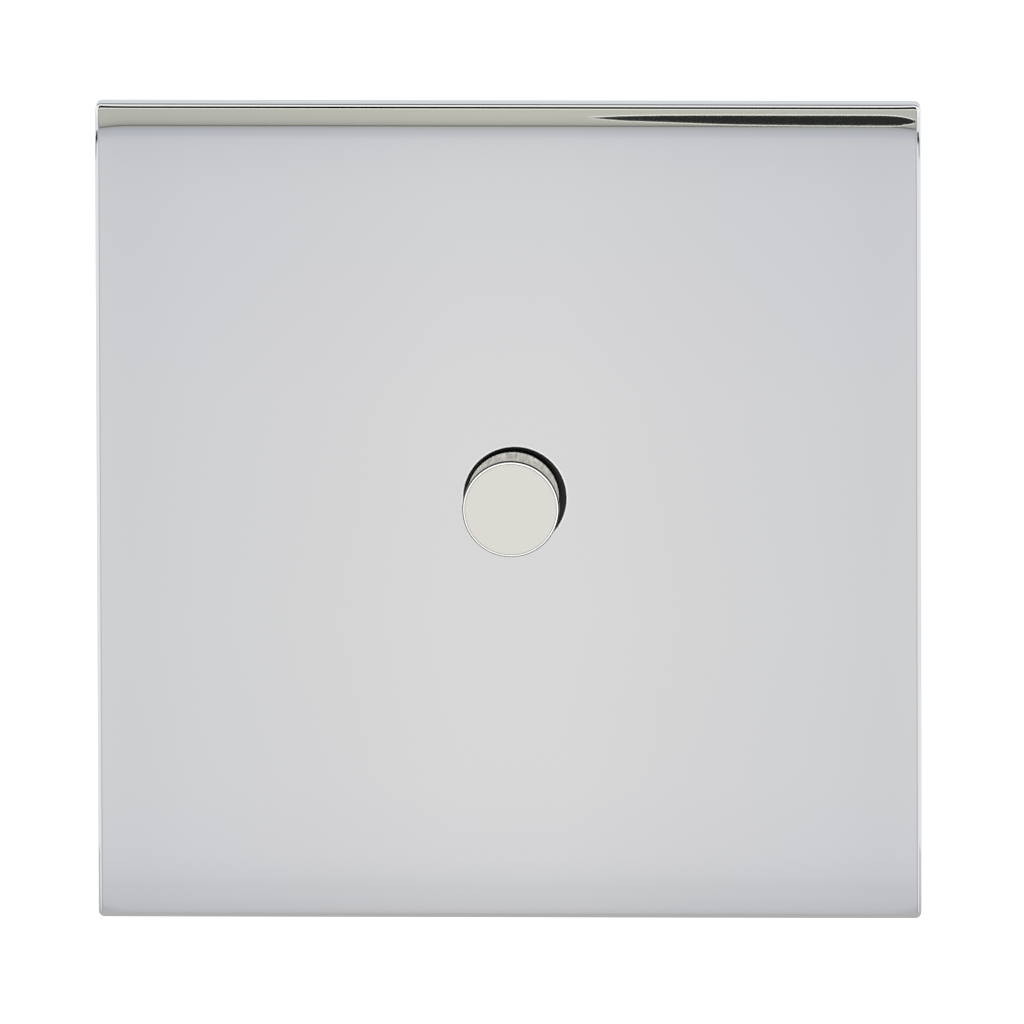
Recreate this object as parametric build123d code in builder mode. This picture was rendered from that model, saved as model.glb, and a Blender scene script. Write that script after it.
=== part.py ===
from build123d import *
import os

# Push-to-make wall switch: a square polished cover plate with a round metal button.
#
# Frame, in millimetres: X to the right, Y into the wall, Z up. The wall's surface is y = 0 and
# the switch faces -Y. The origin is on the button's axis, midway between the two wall screws.
# Depths are distances behind the wall's surface, so what stands in front of it is negative.

# Cover plate
plate_width = 86.0
plate_height = 86.0
plate_depth = 3.0
plate_wall = 1.0
plate_corner_radius = 0.7
plate_edge_radius = 0.55
plate_inner_radius = 0.4
plate_centre = (-0.47, -1.53)
opening_diameter = 10.8
opening_centre = (0.2, -0.04)
opening_rim_radius = 0.12
pry_notch_width = 9.0
pry_notch_height = 1.1

# Room between the cover and what stands behind it
cover_gap = 0.2
head_gap = 0.3
fit_gap = 0.1

# Chassis
chassis_room = 1.0
chassis_gauge = 1.2
chassis_corner_radius = 4.0
bead_length = 34.0
bead_width = 5.0
bead_rise = 0.6
bead_height = 24.0
dish_edge_radius = 0.4

# Wall screws
wall_screw_spacing = 60.3
wall_screw_radius = 1.75
wall_screw_length = 25.0
wall_head_radius = 3.3
wall_head_height = 1.7
wall_neck_radius = 1.5
wall_neck_spare = 0.4
wall_slot_spare = 2.6
dish_spare = 0.5

# Cover studs and their sockets
stud_spacing = 58.0
stud_radius = 1.5
stud_neck_radius = 1.25
stud_neck_length = 0.9
stud_tip = 0.6
stud_tip_radius = 0.75
socket_clearance = 0.08
socket_wall = 0.85
socket_flange_radius = 3.3
socket_barb = 0.3
socket_tail = 3.8
socket_slit = 0.6

# Button
button_head_diameter = 10.1
button_head_thickness = 1.3
button_edge_radius = 0.32
button_shank_diameter = 9.6
button_protrusion = 7.6
button_travel = 2.5
button_tail = 0.75
bush_clearance = 0.06

# Bush, washer and nut
bush_wall = 1.45
bush_flange_radius = 7.6
bush_lead = 0.25
bush_spare = 0.5
nut_across_flats = 17.0
nut_thickness = 2.0
nut_chamfer = 0.5
washer_gauge = 0.6
washer_radius = 9.3
washer_teeth = 14
tooth_gap = 1.0
tooth_depth = 1.4

# Retaining clip
clip_gauge = 0.7
clip_radius = 6.3
clip_groove_depth = 0.7
clip_mouth = 5.6
clip_grip_share = 0.4
stop_gap = 0.05

# Plunger and contact bridge
spigot_radius = 2.0
spigot_length = 4.0
collar_radius = 4.3
collar_thickness = 1.0
stem_radius = 1.8
stem_tail = 1.0
bridge_spring_length = 2.4
bridge_length = 16.0
bridge_width = 4.6
bridge_gauge = 0.8
bridge_clip_gauge = 0.6
bridge_clip_radius = 2.95
bridge_groove_depth = 0.5
bridge_clip_mouth = 1.9
bridge_clearance = 0.05

# Contacts
contact_spacing = 11.6
tip_radius = 1.25
tip_height = 0.5
tip_face_radius = 0.9
tip_bevel = 0.16
tip_shank_radius = 0.7
tip_rivet_radius = 1.05
tip_rivet_height = 0.25
make_gap = 0.05
strip_gauge = 0.8
strip_width = 4.6

# Springs
bridge_wire_radius = 0.18
bridge_spring_radius = 2.25
bridge_spring_turns = 3
return_wire_radius = 0.25
return_spring_radius = 2.65
return_spring_turns = 6

# Module case
case_width = 34.0
case_height = 26.0
case_wall = 1.6
case_corner_radius = 1.5
case_edge = 0.4
pillar_radius = 2.2
case_screw_inset = 2.7
nib_width = 4.0
nib_height = 1.3
nib_place = 10.4
base_floor = 1.8
spring_pocket_radius = 3.3
spring_pocket_depth = 6.0
barrier_gauge = 1.4
barrier_rise = 1.2

# Case screws
case_screw_radius = 1.1
case_screw_length = 12.0
case_head_radius = 1.95
case_head_height = 1.2
case_head_sink = 0.1

# Terminals
terminal_spacing = 21.0
terminal_width = 6.4
terminal_length = 8.0
wire_radius = 1.6
wire_skin = 0.55
clamp_thread = 2.5
clamp_radius = 1.5
clamp_head_radius = 2.3
clamp_head_height = 1.4
wire_funnel = 0.3
clamp_seat_gap = 0.05
rivet_radius = 0.9
rivet_rise = 0.25

# Earth terminal
earth_place = (-25.0, -21.5)
earth_side = 7.0
earth_rivet_radius = 1.4
earth_rivet_head_radius = 2.4

# Screw forms: slot width and point as shares of a radius, slot depth and rim as shares of a head
slot_share = 0.26
slot_depth_share = 0.55
head_rim_share = 0.55
point_share = 0.25

# Planes and heights that follow from the sizes above
plate_front = -plate_depth
plate_inside = plate_front + plate_wall
chassis_front = -chassis_gauge
chassis_width = plate_width - 2 * (plate_wall + abs(plate_centre[0]) + chassis_room)
chassis_height = plate_height - 2 * (plate_wall + abs(plate_centre[1]) + chassis_room)
shelf_front = plate_inside + cover_gap
dish_floor = plate_inside + head_gap + wall_head_height
dish_back = dish_floor + chassis_gauge
button_head_radius = button_head_diameter / 2
button_radius = button_shank_diameter / 2
button_front = plate_front - button_protrusion
button_head_back = button_front + button_head_thickness
bush_bore = button_radius + bush_clearance
bush_radius = bush_bore + bush_wall
washer_front = case_wall
nut_front = washer_front + washer_gauge
bush_back = nut_front + nut_thickness + bush_spare
clip_front = bush_back + stop_gap
clip_back = clip_front + clip_gauge
button_back = clip_back + button_tail
spigot_front = button_back - spigot_length
collar_back = button_back + collar_thickness
bridge_front = collar_back + bridge_spring_length
bridge_back = bridge_front + bridge_gauge
bridge_clip_back = bridge_back + bridge_clip_gauge
stem_back = bridge_clip_back + stem_tail
fixed_tip_front = bridge_back + tip_height + button_travel + make_gap
strip_front = fixed_tip_front + tip_height
parting = strip_front + strip_gauge
wire_depth = parting + wire_skin + wire_radius
terminal_back = wire_depth + wire_radius + clamp_thread
base_back = terminal_back + base_floor
spring_seat = parting + spring_pocket_depth
case_screw_x = case_width / 2 - case_screw_inset
case_screw_z = case_height / 2 - case_screw_inset
case_head_front = base_back - case_head_sink - case_head_height
earth_wire_depth = wire_skin + wire_radius
earth_back = earth_wire_depth + wire_radius + clamp_thread
terminal_x = terminal_spacing / 2
contact_x = contact_spacing / 2
stud_x = stud_spacing / 2
strip_outer_x = terminal_x + terminal_width / 2
strip_inner_x = contact_x - tip_radius - make_gap

wall_screw_places = [(-wall_screw_spacing / 2, 0), (wall_screw_spacing / 2, 0)]
case_screw_places = [(x, z) for x in (-case_screw_x, case_screw_x) for z in (-case_screw_z, case_screw_z)]
stud_places = [(x, z) for x in (-stud_x, stud_x) for z in (-stud_x, stud_x)]


def facing(depth):
    """Plane parallel to the wall at a depth, seen from the front: +X right, +Z up."""
    return Plane.XZ.offset(-depth)


def spots(places, depth):
    """Points at one depth for a list of (x, z) places."""
    return [(x, depth, z) for x, z in places]


def slotted_screw(shank_radius, shank_length, head_radius, head_height):
    """Slotted pan-head screw along +Y, with the underside of its head at the origin."""
    rim_front = -head_height * head_rim_share
    point = shank_radius * point_share
    with BuildPart() as screw:
        with BuildSketch(Plane.XY):
            with BuildLine():
                Polyline(
                    (0, -head_height),
                    (0, shank_length),
                    (shank_radius - point, shank_length),
                    (shank_radius, shank_length - point),
                    (shank_radius, 0),
                    (head_radius, 0),
                    (head_radius, rim_front),
                )
                TangentArc((0, -head_height), (head_radius, rim_front), tangent=(1, 0))
            make_face()
        revolve(axis=Axis.Y)
        with BuildSketch(facing(-head_height)):
            Rectangle(2 * head_radius, head_radius * slot_share)
        extrude(amount=-head_height * slot_depth_share, mode=Mode.SUBTRACT)
    return screw.part


def coil_spring(mean_radius, wire, turns, front, back):
    """Compression spring of round wire on the Y axis, between two seats."""
    rise = back - front - 2 * wire
    with BuildPart() as spring:
        with BuildLine() as coil:
            Helix(rise / turns, rise, mean_radius, center=(0, front + wire, 0), direction=(0, 1, 0))
        with BuildSketch(Plane(origin=coil.line @ 0, z_dir=coil.line % 0)):
            Circle(wire)
        sweep(is_frenet=True)
    return spring.part


def open_clip(front, gauge, inner_radius, outer_radius, mouth):
    """Open retaining ring round the Y axis, with its mouth downwards."""
    with BuildPart() as clip:
        with BuildSketch(facing(front)):
            Circle(outer_radius)
            Circle(inner_radius, mode=Mode.SUBTRACT)
            with Locations((0, -outer_radius)):
                Rectangle(mouth, 2 * (outer_radius - inner_radius * clip_grip_share), mode=Mode.SUBTRACT)
        extrude(amount=-gauge)
    return clip.part


# Cover plate
inside_width = plate_width - 2 * plate_wall
inside_height = plate_height - 2 * plate_wall
with BuildPart() as cover_plate:
    with BuildSketch(facing(plate_front)):
        with Locations(plate_centre):
            RectangleRounded(plate_width, plate_height, plate_corner_radius)
    extrude(amount=-plate_depth)
    fillet(faces().sort_by(Axis.Y)[0].edges(), plate_edge_radius)
    with BuildSketch(facing(plate_inside)):
        with Locations(plate_centre):
            RectangleRounded(inside_width, inside_height, plate_inner_radius)
    extrude(amount=-(plate_depth - plate_wall), mode=Mode.SUBTRACT)
    with BuildSketch(facing(plate_front)):
        with Locations(opening_centre):
            Circle(opening_diameter / 2)
    extrude(amount=-plate_wall, mode=Mode.SUBTRACT)
    fillet(faces().sort_by(Axis.Y)[0].inner_wires().edges(), opening_rim_radius)
    with BuildSketch(facing(-pry_notch_height)):
        with Locations((plate_centre[0], plate_centre[1] - plate_height / 2)):
            Rectangle(pry_notch_width, 2 * (plate_wall + cover_gap))
    extrude(amount=-pry_notch_height, mode=Mode.SUBTRACT)
cover_plate.part.label = "cover_plate"

# Cover studs: turned pins with a snap neck, welded to the inside of the cover
stud_back = shelf_front + socket_tail
with BuildPart() as cover_stud:
    with BuildSketch(Plane.XY):
        with BuildLine():
            Polyline(
                (0, plate_inside),
                (stud_radius, plate_inside),
                (stud_radius, stud_back - stud_neck_length),
                (stud_neck_radius, stud_back - stud_neck_length / 2),
                (stud_radius, stud_back),
                (stud_radius, stud_back + stud_tip),
                (stud_tip_radius, stud_back + 2 * stud_tip),
                (0, stud_back + 2 * stud_tip),
                (0, plate_inside),
            )
        make_face()
    revolve(axis=Axis.Y)

with BuildPart() as cover_studs:
    with Locations(*spots(stud_places, 0)):
        add(cover_stud.part)
cover_studs.part.label = "cover_studs"

# Stud sockets: flanged sockets with a barb behind the chassis and a slit, springy tail
socket_bore = stud_radius + socket_clearance
socket_radius = socket_bore + socket_wall
socket_back = shelf_front + socket_tail
with BuildPart() as stud_socket:
    with BuildSketch(Plane.XY):
        with BuildLine():
            Polyline(
                (socket_bore, shelf_front),
                (socket_flange_radius, shelf_front),
                (socket_flange_radius, chassis_front),
                (socket_radius, chassis_front),
                (socket_radius, 0),
                (socket_radius + socket_barb, socket_barb),
                (socket_bore + socket_wall / 2, socket_back),
                (socket_bore, socket_back),
                (socket_bore, shelf_front),
            )
        make_face()
    revolve(axis=Axis.Y)
    with BuildSketch(facing(socket_back)):
        Rectangle(2 * socket_flange_radius, socket_slit)
        Rectangle(socket_slit, 2 * socket_flange_radius)
    extrude(amount=socket_back - socket_barb, mode=Mode.SUBTRACT)

with BuildPart() as stud_sockets:
    with Locations(*spots(stud_places, 0)):
        add(stud_socket.part)
stud_sockets.part.label = "stud_sockets"

# Chassis: pressed sheet with a dish for each wall screw, two stiffening beads and its holes
dish_width = 2 * (wall_head_radius + dish_spare)
dish_length = dish_width + wall_slot_spare
with BuildPart() as chassis:
    with BuildSketch(facing(chassis_front)):
        RectangleRounded(chassis_width, chassis_height, chassis_corner_radius)
    extrude(amount=-chassis_gauge)
    with BuildSketch(facing(0)):
        with Locations(*wall_screw_places):
            SlotOverall(dish_length + 2 * chassis_gauge, dish_width + 2 * chassis_gauge, rotation=90)
    extrude(amount=-dish_back)
    with BuildSketch(facing(0)):
        with Locations((0, -bead_height), (0, bead_height)):
            SlotOverall(bead_length, bead_width)
    extrude(amount=-bead_rise)
    fillet(faces().sort_by(Axis.Y)[-1].edges(), dish_edge_radius)
    with BuildSketch(facing(chassis_front)):
        with Locations(*wall_screw_places):
            SlotOverall(dish_length, dish_width, rotation=90)
    extrude(amount=-(dish_floor - chassis_front), mode=Mode.SUBTRACT)
    with BuildSketch(facing(chassis_front)):
        with Locations((0, -bead_height), (0, bead_height)):
            SlotOverall(bead_length - bead_width / 2, bead_width / 2)
    extrude(amount=-bead_rise, mode=Mode.SUBTRACT)
    with BuildSketch(facing(chassis_front)):
        with Locations(*wall_screw_places):
            SlotOverall(
                2 * wall_screw_radius + wall_slot_spare,
                2 * (wall_screw_radius + fit_gap),
                rotation=90,
            )
        with Locations(*stud_places):
            Circle(socket_radius)
        with Locations(earth_place):
            Circle(earth_rivet_radius)
        with Locations((0, -nib_place), (0, nib_place)):
            Rectangle(nib_width + 2 * fit_gap, nib_height + 2 * fit_gap)
        Circle(bush_radius + fit_gap)
    extrude(amount=-(dish_back - chassis_front), mode=Mode.SUBTRACT)
chassis.part.label = "chassis"

# Wall screws, with a plain neck that is thinner than the thread where they pass the chassis
with BuildPart() as box_screws:
    with Locations(*spots(wall_screw_places, dish_floor)):
        add(slotted_screw(wall_screw_radius, wall_screw_length, wall_head_radius, wall_head_height))
    with BuildSketch(facing(dish_floor)):
        with Locations(*wall_screw_places):
            Circle(wall_screw_radius)
            Circle(wall_neck_radius, mode=Mode.SUBTRACT)
    extrude(amount=-(chassis_gauge + wall_neck_spare), mode=Mode.SUBTRACT)
box_screws.part.label = "box_screws"

# Guide bush: flanged sleeve that the button slides in
with BuildPart() as guide_bush:
    with BuildSketch(Plane.XY):
        with BuildLine():
            Polyline(
                (bush_bore + bush_lead, shelf_front),
                (bush_flange_radius, shelf_front),
                (bush_flange_radius, chassis_front),
                (bush_radius, chassis_front),
                (bush_radius, bush_back - bush_lead),
                (bush_radius - bush_lead, bush_back),
                (bush_bore, bush_back),
                (bush_bore, shelf_front + bush_lead),
                (bush_bore + bush_lead, shelf_front),
            )
        make_face()
    revolve(axis=Axis.Y)
guide_bush.part.label = "guide_bush"

# Lock washer with inner teeth
with BuildPart() as lock_washer:
    with BuildSketch(facing(washer_front)):
        Circle(washer_radius)
        Circle(bush_radius, mode=Mode.SUBTRACT)
        with PolarLocations(bush_radius, washer_teeth):
            Rectangle(2 * tooth_depth, tooth_gap, mode=Mode.SUBTRACT)
    extrude(amount=-washer_gauge)
lock_washer.part.label = "lock_washer"

# Hexagon nut with chamfered corners
nut_corner_radius = nut_across_flats / 2 + nut_chamfer
with BuildPart() as bush_nut:
    with BuildSketch(facing(nut_front)):
        RegularPolygon(nut_across_flats / 2, 6, major_radius=False)
        Circle(bush_radius, mode=Mode.SUBTRACT)
    extrude(amount=-nut_thickness)
    with BuildSketch(Plane.XY):
        with BuildLine():
            Polyline(
                (0, nut_front),
                (nut_across_flats / 2, nut_front),
                (nut_corner_radius + nut_chamfer, nut_front + nut_chamfer),
                (nut_corner_radius + nut_chamfer, nut_front + nut_thickness),
                (0, nut_front + nut_thickness),
                (0, nut_front),
            )
        make_face()
    revolve(axis=Axis.Y, mode=Mode.INTERSECT)
bush_nut.part.label = "bush_nut"

# Button: turned from bar, with a head that stands a little proud of its shank and has a rounded
# edge, a groove for the clip and a bore for the plunger
groove_radius = button_radius - clip_groove_depth
with BuildPart() as button:
    with BuildSketch(Plane.XY):
        with BuildLine():
            Polyline(
                (0, button_front),
                (button_head_radius, button_front),
                (button_head_radius, button_head_back - (button_head_radius - button_radius)),
                (button_radius, button_head_back),
                (button_radius, clip_front),
                (groove_radius, clip_front),
                (groove_radius, clip_back),
                (button_radius, clip_back),
                (button_radius, button_back),
                (spigot_radius, button_back),
                (spigot_radius, spigot_front),
                (0, spigot_front),
                (0, button_front),
            )
        make_face()
    revolve(axis=Axis.Y)
    fillet(faces().sort_by(Axis.Y)[0].edges(), button_edge_radius)
button.part.label = "button"

# Retaining clip in the button's groove
with BuildPart() as retaining_clip:
    add(open_clip(clip_front, clip_gauge, groove_radius, clip_radius, clip_mouth))
retaining_clip.part.label = "retaining_clip"

# Plunger: moulded stem with a spigot, a spring collar and a groove for the bridge clip
bridge_groove_radius = stem_radius - bridge_groove_depth
with BuildPart() as plunger:
    with BuildSketch(Plane.XY):
        with BuildLine():
            Polyline(
                (0, spigot_front),
                (spigot_radius, spigot_front),
                (spigot_radius, button_back),
                (collar_radius, button_back),
                (collar_radius, collar_back),
                (stem_radius, collar_back),
                (stem_radius, bridge_back),
                (bridge_groove_radius, bridge_back),
                (bridge_groove_radius, bridge_clip_back),
                (stem_radius, bridge_clip_back),
                (bridge_groove_radius, stem_back),
                (0, stem_back),
                (0, spigot_front),
            )
        make_face()
    revolve(axis=Axis.Y)
plunger.part.label = "plunger"

# Contact bridge
with BuildPart() as contact_bridge:
    with BuildSketch(facing(bridge_front)):
        SlotOverall(bridge_length, bridge_width)
        Circle(stem_radius + bridge_clearance, mode=Mode.SUBTRACT)
        with Locations((-contact_x, 0), (contact_x, 0)):
            Circle(tip_shank_radius, mode=Mode.SUBTRACT)
    extrude(amount=-bridge_gauge)
contact_bridge.part.label = "contact_bridge"


def contact_rivet(grip):
    """Contact rivet along Y: its tip ends at the origin, and its shank passes a strip in front."""
    with BuildPart() as rivet:
        with BuildSketch(Plane.XY):
            with BuildLine():
                Polyline(
                    (0, -tip_height - grip - tip_rivet_height),
                    (tip_rivet_radius, -tip_height - grip - tip_rivet_height),
                    (tip_rivet_radius, -tip_height - grip),
                    (tip_shank_radius, -tip_height - grip),
                    (tip_shank_radius, -tip_height),
                    (tip_radius, -tip_height),
                    (tip_radius, -tip_bevel),
                    (tip_face_radius, 0),
                    (0, 0),
                    (0, -tip_height - grip - tip_rivet_height),
                )
            make_face()
        revolve(axis=Axis.Y)
    return rivet.part


# Bridge tips, which face the back
with BuildPart() as bridge_tips:
    with Locations(*spots([(-contact_x, 0), (contact_x, 0)], bridge_back + tip_height)):
        add(contact_rivet(bridge_gauge))
bridge_tips.part.label = "bridge_tips"

# Clip that keeps the bridge on the stem
with BuildPart() as bridge_clip:
    add(
        open_clip(
            bridge_back,
            bridge_clip_gauge,
            bridge_groove_radius,
            bridge_clip_radius,
            bridge_clip_mouth,
        )
    )
bridge_clip.part.label = "bridge_clip"

# Springs
with BuildPart() as bridge_spring:
    add(
        coil_spring(
            bridge_spring_radius,
            bridge_wire_radius,
            bridge_spring_turns,
            collar_back,
            bridge_front,
        )
    )
bridge_spring.part.label = "bridge_spring"

with BuildPart() as return_spring:
    add(
        coil_spring(
            return_spring_radius,
            return_wire_radius,
            return_spring_turns,
            bridge_clip_back,
            spring_seat,
        )
    )
return_spring.part.label = "return_spring"

# Fixed contact strips, the right one and its mirror image
with BuildPart() as fixed_contact_right:
    with BuildSketch(facing(strip_front)):
        with Locations(((strip_inner_x + strip_outer_x) / 2, 0)):
            RectangleRounded(strip_outer_x - strip_inner_x, strip_width, strip_gauge)
        with Locations((contact_x, 0)):
            Circle(tip_shank_radius, mode=Mode.SUBTRACT)
        with Locations((terminal_x, 0)):
            Circle(rivet_radius, mode=Mode.SUBTRACT)
    extrude(amount=-strip_gauge)
fixed_contact_right.part.label = "fixed_contact_right"

with BuildPart() as fixed_contact_left:
    mirror(fixed_contact_right.part, about=Plane.YZ)
fixed_contact_left.part.label = "fixed_contact_left"

# Fixed tips, which face the bridge
with BuildPart() as fixed_tips:
    with Locations(
        Location((-contact_x, fixed_tip_front, 0), (0, 0, 180)),
        Location((contact_x, fixed_tip_front, 0), (0, 0, 180)),
    ):
        add(contact_rivet(strip_gauge))
fixed_tips.part.label = "fixed_tips"

# Terminal blocks, with a wire bore from below, a clamping thread from behind and a strip rivet
with BuildPart() as terminal_right:
    with BuildSketch(facing(parting)):
        with Locations((terminal_x, 0)):
            Rectangle(terminal_width, terminal_length)
    extrude(amount=-(terminal_back - parting))
    chamfer(edges().filter_by(Axis.Y), wire_funnel)
    with BuildSketch(facing(strip_front)):
        with Locations((terminal_x, 0)):
            Circle(rivet_radius)
    extrude(amount=-(parting - strip_front))
    with BuildSketch(facing(strip_front - rivet_rise)):
        with Locations((terminal_x, 0)):
            Circle(rivet_radius + rivet_rise)
    extrude(amount=-rivet_rise)
    with BuildSketch(Plane.XY.offset(-terminal_length / 2)):
        with Locations((terminal_x, wire_depth)):
            Circle(wire_radius)
    extrude(amount=terminal_length, mode=Mode.SUBTRACT)
    with BuildSketch(facing(terminal_back)):
        with Locations((terminal_x, 0)):
            Circle(clamp_radius)
    extrude(amount=terminal_back - wire_depth, mode=Mode.SUBTRACT)
terminal_right.part.label = "terminal_right"

with BuildPart() as terminal_left:
    mirror(terminal_right.part, about=Plane.YZ)
terminal_left.part.label = "terminal_left"

# Clamping screws, backed off clear of the wire bores
clamp_length = clamp_thread - clamp_seat_gap
with BuildPart() as terminal_screws:
    with Locations(
        Location((-terminal_x, terminal_back + clamp_seat_gap, 0), (180, 0, 0)),
        Location((terminal_x, terminal_back + clamp_seat_gap, 0), (180, 0, 0)),
    ):
        add(slotted_screw(clamp_radius, clamp_length, clamp_head_radius, clamp_head_height))
terminal_screws.part.label = "terminal_screws"

# Module housing: open box behind the chassis with corner pillars and two locating nibs
with BuildPart() as module_housing:
    with BuildSketch(facing(0)):
        RectangleRounded(case_width, case_height, case_corner_radius)
    extrude(amount=-parting)
    with BuildSketch(facing(case_wall)):
        Rectangle(case_width - 2 * case_wall, case_height - 2 * case_wall)
        with Locations(*case_screw_places):
            Circle(pillar_radius, mode=Mode.SUBTRACT)
    extrude(amount=-(parting - case_wall), mode=Mode.SUBTRACT)
    with BuildSketch(facing(chassis_front)):
        with Locations((0, -nib_place), (0, nib_place)):
            Rectangle(nib_width, nib_height)
    extrude(amount=-chassis_gauge)
    with BuildSketch(facing(0)):
        Circle(bush_radius + fit_gap)
    extrude(amount=-case_wall, mode=Mode.SUBTRACT)
    with BuildSketch(facing(parting)):
        with Locations(*case_screw_places):
            Circle(case_screw_radius)
    extrude(amount=case_screw_length - (case_head_front - parting), mode=Mode.SUBTRACT)
module_housing.part.label = "module_housing"

# Module base: closes the housing and holds the terminals and the return spring
with BuildPart() as module_base:
    with BuildSketch(facing(parting)):
        RectangleRounded(case_width, case_height, case_corner_radius)
    extrude(amount=-(base_back - parting))
    chamfer(faces().sort_by(Axis.Y)[-1].edges(), case_edge)
    with BuildSketch(facing(base_back)):
        Rectangle(barrier_gauge, case_height - 2 * case_wall)
    extrude(amount=-barrier_rise)
    with BuildSketch(facing(parting)):
        Circle(spring_pocket_radius)
    extrude(amount=-spring_pocket_depth, mode=Mode.SUBTRACT)
    with BuildSketch(facing(parting)):
        with Locations((-contact_x, 0), (contact_x, 0)):
            Circle(tip_rivet_radius + fit_gap)
    extrude(amount=-(tip_rivet_height + fit_gap), mode=Mode.SUBTRACT)
    with BuildSketch(facing(parting)):
        with Locations((-terminal_x, 0), (terminal_x, 0)):
            Rectangle(terminal_width + 2 * fit_gap, terminal_length + 2 * fit_gap)
    extrude(amount=-(terminal_back - parting), mode=Mode.SUBTRACT)
    with BuildSketch(facing(terminal_back)):
        with Locations((-terminal_x, 0), (terminal_x, 0)):
            Circle(clamp_head_radius + head_gap)
    extrude(amount=-base_floor, mode=Mode.SUBTRACT)
    with BuildSketch(Plane.XY.offset(-case_height / 2)):
        with Locations((-terminal_x, wire_depth), (terminal_x, wire_depth)):
            Circle(wire_radius + wire_funnel)
    extrude(amount=case_height / 2, mode=Mode.SUBTRACT)
    with BuildSketch(facing(parting)):
        with Locations(*case_screw_places):
            Circle(case_screw_radius + fit_gap)
    extrude(amount=-(base_back - parting), mode=Mode.SUBTRACT)
    with BuildSketch(facing(base_back)):
        with Locations(*case_screw_places):
            Circle(case_head_radius + fit_gap)
    extrude(amount=base_back - case_head_front, mode=Mode.SUBTRACT)
module_base.part.label = "module_base"

# Case screws, driven from behind
with BuildPart() as base_screws:
    with Locations(*[Location(spot, (180, 0, 0)) for spot in spots(case_screw_places, case_head_front)]):
        add(slotted_screw(case_screw_radius, case_screw_length, case_head_radius, case_head_height))
base_screws.part.label = "base_screws"

# Earth terminal: brass post riveted to the chassis, with a wire bore from below
earth_x, earth_z = earth_place
with BuildPart() as earth_terminal:
    with BuildSketch(facing(0)):
        with Locations(earth_place):
            Rectangle(earth_side, earth_side)
    extrude(amount=-earth_back)
    chamfer(edges().filter_by(Axis.Y), wire_funnel)
    with BuildSketch(facing(chassis_front)):
        with Locations(earth_place):
            Circle(earth_rivet_radius)
    extrude(amount=-chassis_gauge)
    with BuildSketch(facing(shelf_front)):
        with Locations(earth_place):
            Circle(earth_rivet_head_radius)
    extrude(amount=-(chassis_front - shelf_front))
    with BuildSketch(Plane.XY.offset(earth_z - earth_side / 2)):
        with Locations((earth_x, earth_wire_depth)):
            Circle(wire_radius)
    extrude(amount=earth_side, mode=Mode.SUBTRACT)
    with BuildSketch(facing(earth_back)):
        with Locations(earth_place):
            Circle(clamp_radius)
    extrude(amount=earth_back - earth_wire_depth, mode=Mode.SUBTRACT)
earth_terminal.part.label = "earth_terminal"

with BuildPart() as earth_screw:
    with Locations(Location((earth_x, earth_back + clamp_seat_gap, earth_z), (180, 0, 0))):
        add(slotted_screw(clamp_radius, clamp_length, clamp_head_radius, clamp_head_height))
earth_screw.part.label = "earth_screw"

pieces = [
    cover_plate,
    cover_studs,
    stud_sockets,
    chassis,
    box_screws,
    guide_bush,
    lock_washer,
    bush_nut,
    button,
    retaining_clip,
    plunger,
    contact_bridge,
    bridge_tips,
    bridge_clip,
    bridge_spring,
    return_spring,
    fixed_contact_left,
    fixed_contact_right,
    fixed_tips,
    terminal_left,
    terminal_right,
    terminal_screws,
    module_housing,
    module_base,
    base_screws,
    earth_terminal,
    earth_screw,
]

os.makedirs("parts", exist_ok=True)
for piece in pieces:
    export_step(piece.part, f"parts/{piece.part.label}.step")
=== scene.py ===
"""Wall pushbutton switch: polished square cover plate, nickel button, and the module behind it."""

import logging
import math
from collections.abc import Callable
from dataclasses import dataclass, field
from enum import Enum
from functools import partial

import bpy
import numpy as np
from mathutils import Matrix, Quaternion, Vector


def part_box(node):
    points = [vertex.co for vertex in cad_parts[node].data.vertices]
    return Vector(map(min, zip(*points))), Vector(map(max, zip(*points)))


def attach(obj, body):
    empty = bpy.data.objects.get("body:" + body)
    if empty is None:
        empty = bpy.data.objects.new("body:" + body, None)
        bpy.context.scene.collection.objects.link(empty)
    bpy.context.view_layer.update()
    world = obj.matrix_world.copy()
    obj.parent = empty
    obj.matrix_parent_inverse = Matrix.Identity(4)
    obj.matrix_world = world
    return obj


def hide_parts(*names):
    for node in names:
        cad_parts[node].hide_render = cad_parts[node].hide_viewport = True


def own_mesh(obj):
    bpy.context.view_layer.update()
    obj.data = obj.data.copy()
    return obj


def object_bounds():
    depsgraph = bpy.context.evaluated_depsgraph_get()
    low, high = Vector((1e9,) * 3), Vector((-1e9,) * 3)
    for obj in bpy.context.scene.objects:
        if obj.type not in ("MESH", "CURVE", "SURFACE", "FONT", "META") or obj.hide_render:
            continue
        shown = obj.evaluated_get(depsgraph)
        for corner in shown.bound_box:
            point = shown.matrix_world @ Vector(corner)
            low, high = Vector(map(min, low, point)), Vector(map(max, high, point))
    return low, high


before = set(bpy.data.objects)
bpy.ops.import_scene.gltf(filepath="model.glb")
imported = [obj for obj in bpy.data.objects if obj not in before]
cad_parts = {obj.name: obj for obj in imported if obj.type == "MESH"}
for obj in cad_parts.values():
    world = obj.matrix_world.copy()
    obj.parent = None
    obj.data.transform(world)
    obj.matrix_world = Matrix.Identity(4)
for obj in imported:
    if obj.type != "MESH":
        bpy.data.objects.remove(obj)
cad_low, cad_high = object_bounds()

log = logging.getLogger("scene")

MM = 0.001


# Small helpers

Object = bpy.types.Object
Add = Callable[..., bpy.types.Node]
Values = dict[str | int, object]
Stops = tuple[tuple[float, str], ...]

# The Mix node's sockets go by number, because their names repeat: its factor, then the two values
# and the result for colours and for numbers
FACTOR = 0
COLOUR_A, COLOUR_B, MIXED_COLOUR = 6, 7, 2
NUMBER_A, NUMBER_B, MIXED_NUMBER = 2, 3, 0


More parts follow.
